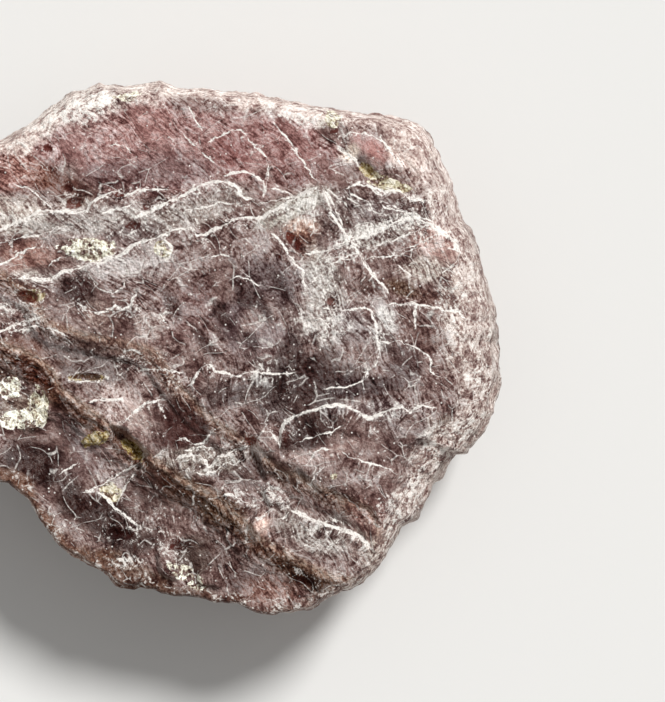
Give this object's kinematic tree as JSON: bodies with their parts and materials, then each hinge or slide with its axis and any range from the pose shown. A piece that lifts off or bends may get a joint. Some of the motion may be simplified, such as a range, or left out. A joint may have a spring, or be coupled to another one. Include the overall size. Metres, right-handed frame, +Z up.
{
  "type": "rough ruby crystal",
  "caption": "Rough, opaque ruby: a thick tablet with a rounded six-sided outline, its broad face broken into thin ledges and terraces, lying on its flat back.",
  "frame": {"origin": "on the surface that the crystal lies on, under the middle of its bounding box", "axes": "+Z up out of the broad face, +X along the crystal's longest side to side, towards its granular rim, +Y towards its straight upper edge"},
  "size_m": [0.062, 0.0551, 0.0212],
  "materials": {
    "ruby": "rough, opaque, dull purplish red with a waxy to glassy shine, white scale edges and brown iron stain in the ledges"
  },
  "bodies": {
    "root": {"ruby_crystal": "ruby"}
  },
  "joints": []
}
